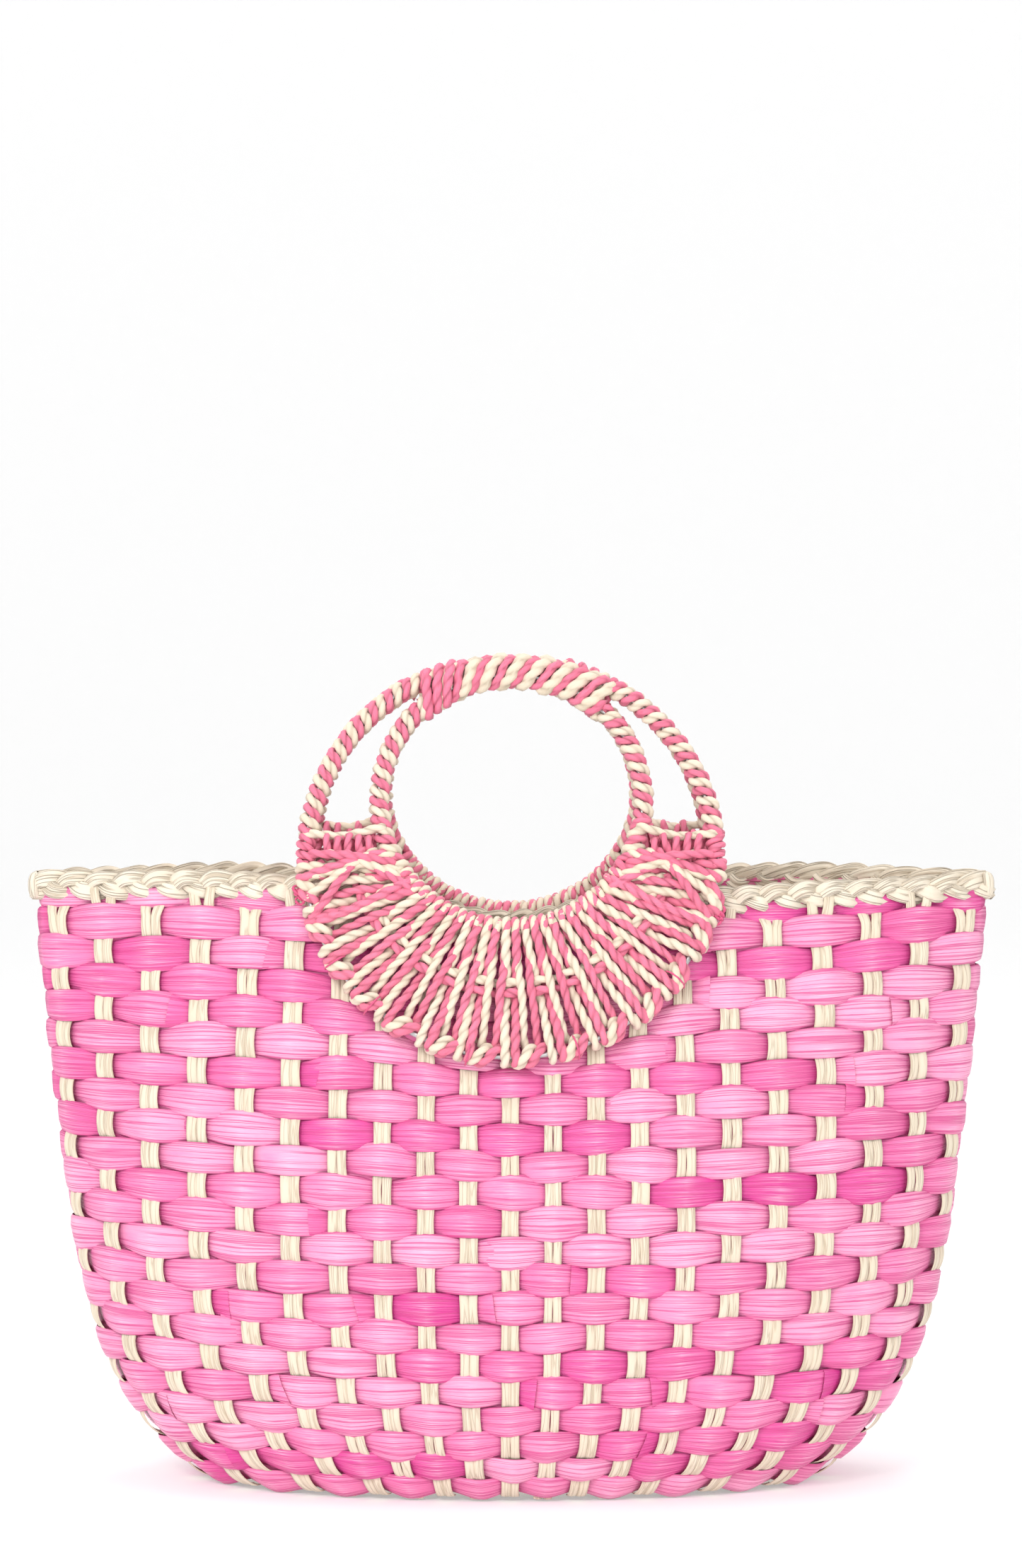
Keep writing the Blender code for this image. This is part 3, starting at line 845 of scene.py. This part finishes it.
def bottom_mat():
    """The plaited bottom: the stakes' ribbons crossed by ribbons that run lengthwise."""
    half_x, half_y = (high - MAT_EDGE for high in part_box("base_mat")[1][:2])
    strips = Strips()
    t = np.linspace(-1, 1, 4)[None, :]

    def half_run(at, size, other):
        return other * sqrt(max(1 - (at / size) ** 2, 0))

    def wave(run, k):
        return MAT_WAVE * np.cos(pi * run / MAT_STEP) * (-1) ** k

    for k in range(-int(half_x / MAT_STEP), int(half_x / MAT_STEP) + 1):
        x = k * MAT_STEP
        reach = half_run(x, half_x, half_y)
        run = np.linspace(-reach, reach, 40)[:, None]
        points = spots(x + t * MAT_HALF, run, MAT_LEVEL + wave(run, k))[:, ::-1]
        strips.add(points, run * PATH_CM + 3 * k, t * 0.5, tone=RNG.random())
    for k in range(-int(half_y / MAT_STEP), int(half_y / MAT_STEP) + 1):
        y = k * MAT_STEP
        reach = half_run(y, half_y, half_x)
        run = np.linspace(-reach, reach, 90)[:, None]
        points = spots(run, y + t * MAT_HALF, MAT_LEVEL - wave(run, k))
        strips.add(points, run * PATH_CM + 5 * k, t * 0.5, tone=RNG.random())
    piece = strips.piece("bottom_mat", STAKE_PAPER, thickness=0.0005)
    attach(piece, "basket")
    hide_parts("base_mat")


# ---- the handles

# In a handle's own plane, up from the hinge: the two rings' radii, and the height of their middles.
OUTER = 0.0925
INNER = 0.0597
OUTER_CENTRE = OUTER + 0.0048 + 0.0012
INNER_CENTRE = OUTER_CENTRE + 0.0265
CORE = 0.0014           # the wire's radius
CORD = 0.0022           # the cord's radius
WRAP = CORE + CORD * 0.72
GRIP_RIGHT = radians(31)
GRIP_LEFT = radians(25)
BAR_LEVEL = 0.1030
REPEATS = 7             # of the fan's pattern, to each side of straight down
REPEAT_OUTER = radians(12.2)
REPEAT_INNER = radians(8.0)
RING_PITCH = 0.0093     # of the wraps where the rings stand apart
GRIP_PITCH = 0.0102
OUTER_END = radians(96)
INNER_END = radians(80)


def to_bag(side, points):
    """Points in a handle's plane, x across, y up the plane and z outwards, in the bag's frame."""
    x, y, z = points[..., 0], points[..., 1], points[..., 2]
    out = z * cos(LEAN) - y * sin(LEAN)
    height = HINGE_HEIGHT + y * cos(LEAN) + z * sin(LEAN)
    if side == "front":
        return np.stack([x, -HINGE_REACH - out, height], -1)
    return np.stack([-x, HINGE_REACH + out, height], -1)


def spoke(angle):
    """The direction out from a ring's middle, measured from straight down, towards +x."""
    return np.array([sin(angle), -cos(angle), 0.0])


def at_height(z):
    """A step out of a handle's plane."""
    return np.array([0, 0, z])


def round_ring(centre, radius, angle, turn, reach):
    """A point on the skin round a ring: turn 0 faces its middle, a quarter faces out of the
    plane."""
    across = spoke(angle) * (radius - reach * cos(turn))
    return np.array([0, centre, 0]) + across + at_height(reach * sin(turn))


def outer_wrap(angle, degrees, above=0.0):
    """A point on, or above, the wrap of the outer ring."""
    return round_ring(OUTER_CENTRE, OUTER, angle, radians(degrees), WRAP + above)


def inner_wrap(angle, degrees, above=0.0):
    """The same for the inner ring."""
    return round_ring(INNER_CENTRE, INNER, angle, radians(degrees), WRAP + above)


def ring_wraps(cords, centre, radius, start, end, pitch, tall=WRAP, deep=WRAP, starts=1, thick=1.0):
    """Cords, cream and rose in turn, wound side by side round a ring between two angles. The
    radius and the wrap's reach in the plane are numbers, or change with the angle."""
    def at(value, angle):
        return value(angle) if callable(value) else value

    arc = abs(end - start) * np.mean([at(radius, a) for a in np.linspace(start, end, 9)])
    turns = arc / (pitch * starts)
    for index in range(2 * starts):
        colour = ("cream", "rose")[index % 2]
        size = CORD * thick * ((1.22, 0.88) if starts > 1 else (1.04, 0.96))[index % 2]
        loose = RNG.uniform(0, 6)
        path = []
        for s in np.linspace(0, 1, int(turns * 16) + 2):
            angle = start + (end - start) * s
            psi = -tau * turns * s + pi * index / starts
            psi += 0.16 * sin(3.1 * s * turns * starts + loose)
            wobble = 1 + 0.05 * sin(2.3 * s * turns + loose)
            flat = abs(sin(psi)) ** 2
            across = at(radius, angle) - at(tall, angle) * wobble * cos(psi)
            path.append(np.array([0, centre, 0]) + spoke(angle) * across
                        + at_height((deep - 0.0002 * flat) * wobble * sin(psi)))
        lay_cord(cords[colour], np.array(path), size, RNG.random(), start=loose)


def ring_gap(angle_from_top):
    """Distance from the outer ring's middle to the inner ring, at an angle from straight up."""
    apart = INNER_CENTRE - OUTER_CENTRE
    off = apart * sin(angle_from_top)
    return apart * cos(angle_from_top) + sqrt(INNER**2 - off**2)


def fan_cord(start_angle, end_angle, levels, ducks):
    """The route of one cord of the fan, from the inner ring to the outer one. It winds round both
    rings, or ducks behind them."""
    inner_foot = inner_wrap(start_angle, 180)
    outer_foot = outer_wrap(end_angle, 0)
    if ducks:
        knots = [inner_foot - spoke(start_angle) * 0.002 + at_height(-0.0030)]
    else:
        knots = [inner_wrap(start_angle, turn, 0.0001)
                 for turn in (-110, -60, -10, 35, 80, 120)]
    for fraction, level in levels:
        spot = inner_foot * (1 - fraction) + outer_foot * fraction
        spot[2] = level
        knots.append(spot + [RNG.uniform(-0.0004, 0.0004), RNG.uniform(-0.0003, 0.0003), 0])
    if ducks:
        knots.append(outer_wrap(end_angle, -30))
    else:
        knots += [outer_wrap(end_angle, turn, 0.0002) for turn in (60, 100, 145, 190, 235)]
    return smooth_path(knots)


# How far along the fan, and how far out of its plane, the cords of each set of pairs run.
OVER_PAIR = ((0.16, 0.0034), (0.32, 0.0014), (0.46, -0.0012), (0.58, -0.0008), (0.74, 0.0014),
             (0.93, 0.0036))
UNDER_PAIR = ((0.08, -0.0012), (0.22, 0.0014), (0.38, 0.0032), (0.52, 0.0034), (0.68, 0.0024),
              (0.88, 0.0006))


def lace_fan(cords):
    """Cord pairs from ring to ring. One pair goes under the weft and winds over the outer ring.
    The next pair wraps the inner ring, goes over the weft and tucks behind the outer ring. Slanted
    loops fill the outer ring between them."""
    pair = (("cream", -0.5), ("rose", 0.5))
    for k in range(-REPEATS, REPEATS + 1):
        shake = RNG.uniform(-0.018, 0.018)
        for colour, off in pair:
            start = REPEAT_INNER * k + off * 0.0042 / INNER
            end = REPEAT_OUTER * k + shake + off * 0.0046 / OUTER
            lay_cord(cords[colour], fan_cord(start, end, OVER_PAIR, False),
                     CORD * RNG.uniform(0.97, 1.12), RNG.random(), start=RNG.uniform(0, 6))
            if k == REPEATS:
                continue
            place, lean = (0.36, -0.0004) if colour == "cream" else (0.62, -0.0005)
            slant = REPEAT_OUTER * (k + place) + shake
            loop = [outer_wrap(slant + (turn - 90) * lean, turn, 0.0005)
                    for turn in (-70, -20, 30, 75, 115, 160, 205, 240)]
            lay_cord(cords[colour], smooth_path(loop), CORD * RNG.uniform(1.05, 1.2),
                     RNG.random(), start=RNG.uniform(0, 6))
        if k == REPEATS:
            continue
        for colour, off in pair:
            start = REPEAT_INNER * (k + 0.5) + off * 0.0042 / INNER
            loop = [inner_wrap(start, turn, 0.0001) for turn in range(-150, 211, 30)]
            lay_cord(cords[colour], smooth_path(loop), CORD, RNG.random(),
                     start=RNG.uniform(0, 6))
            end = REPEAT_OUTER * (k + 0.47) + RNG.uniform(-0.01, 0.01) + off * 0.0052 / OUTER
            lay_cord(cords[colour], fan_cord(start, end, UNDER_PAIR, True),
                     CORD * RNG.uniform(0.92, 1.05), RNG.random(), start=RNG.uniform(0, 6))


def weft_cords(cords):
    """The cream and the rose cord that run along the fan, over the one set of pairs and under the
    other."""
    for colour, share in (("cream", 0.425), ("rose", 0.515)):
        knots = []
        for half in range(-2 * REPEATS, 2 * REPEATS + 1):
            inner = inner_wrap(REPEAT_INNER * half / 2, 180)
            outer = outer_wrap(REPEAT_OUTER * half / 2, 0)
            spot = inner * (1 - share) + outer * share
            spot[2] = 0.0024 if half % 2 == 0 else -0.0008
            knots.append(spot)
        lay_cord(cords[colour], smooth_path(knots), CORD, RNG.random())


def bar_spot(sign, share, level, out=0.0):
    """A point along the bar between the rings, from 0 at the inner ring to 1 at the outer ring."""
    inner = sqrt(INNER**2 - (level - INNER_CENTRE) ** 2)
    outer = sqrt(OUTER**2 - (level - OUTER_CENTRE) ** 2)
    return np.array([sign * (inner + (outer - inner) * share), level, out])


def knotted_bars(cords):
    """What closes the lower end of the gap between the rings: knotted rose loops, cords laid
    across them from ring to ring, and crossed cords that lead down to the fan."""
    def lay(colour, knots, size=CORD):
        lay_cord(cords[colour], smooth_path(knots), size, RNG.random())

    for sign in (-1, 1):
        for n in range(5):
            spot = bar_spot(sign, 0.24 + 0.13 * n, BAR_LEVEL + RNG.uniform(-0.0014, 0.0014))
            tilt = RNG.uniform(-0.0022, 0.0022)
            tall = RNG.uniform(0.0048, 0.0072)
            lay("rose", [spot + [tilt * cos(w) + 0.0004 * w, tall * cos(w),
                                 0.0036 * sin(w)]
                         for w in np.linspace(0.3, tau + 0.5, 10)], CORD * 0.86)
        for n, colour in enumerate(("cream", "cream", "rose")):
            a = bar_spot(sign, 0.02, BAR_LEVEL + 0.0084 - 0.0125 * n, 0.0038)
            b = bar_spot(sign, 0.98, BAR_LEVEL + 0.0056 - 0.0205 * n, 0.0030)
            sink = at_height(-0.0055)
            middle = (a + b) / 2 + [0, -0.0015, 0.0012 if n else -0.0035]
            lay(colour, [a + sink, a, middle, b, b + sink])
        for n, colour in enumerate(("rose", "cream", "rose")):
            a = bar_spot(sign, 0.10 + 0.12 * n, BAR_LEVEL - 0.0035, 0.0040)
            b = outer_wrap(sign * radians(84 - 5.5 * n), 70, 0.0012)
            c = outer_wrap(sign * radians(83 - 5.5 * n), 150, 0.0004)
            lay(colour, [a - at_height(0.005), a, (a + b) / 2 + at_height(0.0022), b, c])
        for n, colour in enumerate(("rose", "cream", "rose")):
            a = bar_spot(sign, 0.92 - 0.20 * n, BAR_LEVEL - 0.0040, 0.0036)
            b = inner_wrap(sign * radians(61 - 6.5 * n), 120, 0.0010)
            middle = (a + b) / 2 + at_height(0.0036 - 0.0012 * n)
            lay(colour, [a - at_height(0.005), a, middle, b, b - at_height(0.006)])
        only_rose = {"cream": cords["rose"], "rose": cords["rose"]}
        ring_wraps(only_rose, OUTER_CENTRE, OUTER, sign * OUTER_END, sign * radians(87),
                   0.0078, thick=0.86)
        ring_wraps(cords, INNER_CENTRE, INNER, sign * radians(82), sign * radians(60),
                   0.0088)


def grip_and_rings(cords):
    """The wraps of the two rings where they stand apart, and of both together at the grip."""
    top = pi
    right, left = top - GRIP_RIGHT, top + GRIP_LEFT

    def between(angle):
        return (OUTER + ring_gap(abs(top - angle))) / 2 - 0.0016

    def tall(angle):
        return (OUTER - ring_gap(abs(top - angle))) / 2 + WRAP

    ring_wraps(cords, OUTER_CENTRE, between, right, left, GRIP_PITCH, tall, WRAP + 0.0006,
               starts=2, thick=1.12)
    ring_wraps(cords, OUTER_CENTRE, OUTER, OUTER_END, right + 0.02, RING_PITCH)
    ring_wraps(cords, OUTER_CENTRE, OUTER, left - 0.02, 2 * top - OUTER_END, RING_PITCH)
    inner_right = top - asin(ring_gap(GRIP_RIGHT) * sin(GRIP_RIGHT) / INNER)
    inner_left = top + asin(ring_gap(GRIP_LEFT) * sin(GRIP_LEFT) / INNER)
    ring_wraps(cords, INNER_CENTRE, INNER, INNER_END, inner_right, RING_PITCH)
    ring_wraps(cords, INNER_CENTRE, INNER, inner_left, 2 * top - INNER_END, RING_PITCH)
    for n in range(3):
        angle = left + radians(1.5 - 3.6 * n)
        knots = []
        for w in map(radians, range(-20, 341, 30)):
            across = between(angle) - (tall(angle) + 0.0018) * cos(w)
            knots.append(np.array([0, OUTER_CENTRE, 0]) + spoke(angle + 0.05 * cos(w)) * across
                         + at_height((WRAP + 0.0022) * sin(w)))
        lay_cord(cords["rose"], smooth_path(knots), CORD * 1.1, RNG.random())


def ring_wires(side):
    """The two wires that the cords are wound on."""
    for label, radius, centre in (("outer", OUTER, OUTER_CENTRE), ("inner", INNER, INNER_CENTRE)):
        around = np.linspace(0, tau, 129)[:, None]
        turn = np.linspace(0, tau, 11)[None, :]
        reach = radius + CORE * np.cos(turn)
        points = spots(reach * np.sin(around), centre - reach * np.cos(around), CORE * np.sin(turn))
        strips = Strips()
        strips.add(to_bag(side, points), around, turn)
        piece = strips.piece(f"{side}_{label}_wire", WIRE, closed=True)
        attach(piece, f"{side}_handle")
        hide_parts(f"{side}_{label}_ring_wire")


STITCH = 0.00050        # the thread's radius in a stitch, and in a knot
KNOT = 0.00070


def stitches(side):
    """Thread stitches that sew the outer ring to the wall, with a knot at each side."""
    strips = Strips()
    for degrees in (-58, -42, -12, 18, 52):
        angle = radians(degrees)
        knots = [outer_wrap(angle + 0.006 * sin(radians(turn)), turn, CORD + 0.0005)
                 for turn in (20, 60, 100, 140, 180, 215)]
        path = smooth_path(knots, 0.0012)
        lay_cord(strips, to_bag(side, path), STITCH, 0.5, twist=0.004, sides=6)
    for degrees in (-81, 72):
        for loop in range(4):
            centre = outer_wrap(radians(degrees + 1.1 * loop), 165, CORD - 0.0004)
            knots = [centre + [0.0020 * cos(w + loop), 0.0016 * sin(w),
                               0.0009 * cos(2 * w)]
                     for w in np.linspace(0, tau, 9)]
            path = smooth_path(knots, 0.0010)
            lay_cord(strips, to_bag(side, path), KNOT, 0.5, twist=0.005, sides=6)
    piece = strips.piece(f"{side}_stitches", THREAD, closed=True)
    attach(piece, f"{side}_handle")
    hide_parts(*[f"{side}_thread_tie_{n}" for n in (1, 2, 3)])


def laced_handle(side):
    """One handle: each group of cords is made in the handle's plane and then put in its place."""
    groups = {
        "wraps": (grip_and_rings, ["outer_ring_wrap", "inner_ring_wrap", "grip_wrap"]),
        "fan": (lace_fan, ["fan_lacing"]),
        "weft": (weft_cords, ["fan_weft_cream", "fan_weft_pink"]),
        "crossbars": (knotted_bars, ["left_crossbar", "right_crossbar"]),
    }
    for label, (lay, stands_for) in groups.items():
        cords = {"cream": Strips(), "rose": Strips()}
        lay(cords)
        for colour, finish in (("cream", CREAM_CORD), ("rose", ROSE_CORD)):
            strips = cords[colour]
            strips.grids = [(to_bag(side, g[0]), *g[1:]) for g in strips.grids]
            piece = strips.piece(f"{side}_{label}_{colour}", finish, closed=True)
            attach(piece, f"{side}_handle")
            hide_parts(*[f"{side}_{name}" for name in stands_for])
    ring_wires(side)
    stitches(side)


# ---- camera, floor and light

CAMERA_AWAY = 2.1
CAMERA_RISE = radians(3.0)
CAMERA_AIM = Vector((0.0, 0.0, 0.3182))
FRAME_TALL = 0.7185     # what the picture spans at the object, from top to bottom
SENSOR = 24.0
FLOOR_FLAT = 3.4        # where the floor starts to curve up, and the curve's radius
FLOOR_BEND = 1.6
FLOOR_TOP = 6.0
LIGHTS_AIM = Vector((0, 0, 0.17))
LIGHTS = (("key", (-0.9, -1.9, 1.5), 0.8, 21.0),    # place, size and power
          ("front", (0.35, -2.4, 0.55), 0.8, 9.0),
          ("top", (0.1, 0.2, 2.0), 1.2, 13.0))
SKY = 0.60


def turned_to(place, aim):
    return (aim - place).to_track_quat("-Z", "Y").to_euler()


def pale_floor():
    """A round floor that curves up into a backdrop on all sides."""
    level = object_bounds()[0][2] - 0.0002
    curve = [(FLOOR_FLAT + FLOOR_BEND * sin(a), FLOOR_BEND - FLOOR_BEND * cos(a))
             for a in np.linspace(0.1, pi / 2, 12)]
    outline = [(0.0, 0.0), (FLOOR_FLAT, 0.0), *curve, (FLOOR_FLAT + FLOOR_BEND, FLOOR_TOP)]
    bm = bmesh.new()
    rim = [bm.verts.new((reach, 0.0, level + z)) for reach, z in outline]
    edges = [bm.edges.new(pair) for pair in zip(rim, rim[1:])]
    bmesh.ops.spin(bm, geom=rim + edges, cent=(0, 0, 0), axis=(0, 0, 1), angle=tau,
                   steps=64, use_merge=True)
    bmesh.ops.remove_doubles(bm, verts=bm.verts, dist=1e-5)
    mesh = bpy.data.meshes.new("floor")
    bm.to_mesh(mesh)
    bm.free()
    mesh.shade_smooth()
    made, tree, shader = nodes_of("pale_floor")
    surface(tree, shader, Base_Color=(0.76, 0.76, 0.76, 1), Emission_Color=(1, 1, 1, 1),
            Emission_Strength=0.30, Roughness=0.9, Specular_IOR_Level=0.1)
    mesh.materials.append(made)
    put("floor", mesh)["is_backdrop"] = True


def studio():
    """Camera, floor, an even sky and three soft lights."""
    camera = put("camera", bpy.data.cameras.new("camera"))
    away = Vector((0, -cos(CAMERA_RISE), sin(CAMERA_RISE))) * CAMERA_AWAY
    camera.location = CAMERA_AIM + away
    camera.rotation_euler = turned_to(camera.location, CAMERA_AIM)
    camera.data.sensor_fit = "VERTICAL"
    camera.data.sensor_height = SENSOR
    camera.data.lens = SENSOR * CAMERA_AWAY / FRAME_TALL
    bpy.context.scene.camera = camera
    pale_floor()
    world = bpy.data.worlds.new("studio")
    world.use_nodes = True
    sky = world.node_tree.nodes["Background"]
    sky.inputs["Color"].default_value = (1, 1, 1, 1)
    sky.inputs["Strength"].default_value = SKY
    bpy.context.scene.world = world
    for name, place, size, power in LIGHTS:
        lamp = put(name, bpy.data.lights.new(name, "AREA"))
        lamp.data.size = size
        lamp.data.energy = power
        lamp.location = place
        lamp.rotation_euler = turned_to(Vector(place), LIGHTS_AIM)
    bpy.context.scene.view_settings.view_transform = "Standard"


weave_husk()
back_the_weave()
stake_ribbons()
rim_braid()
rim_end_folds()
lining_bag()
bottom_mat()
for handle_side in SIDES:
    laced_handle(handle_side)
studio()
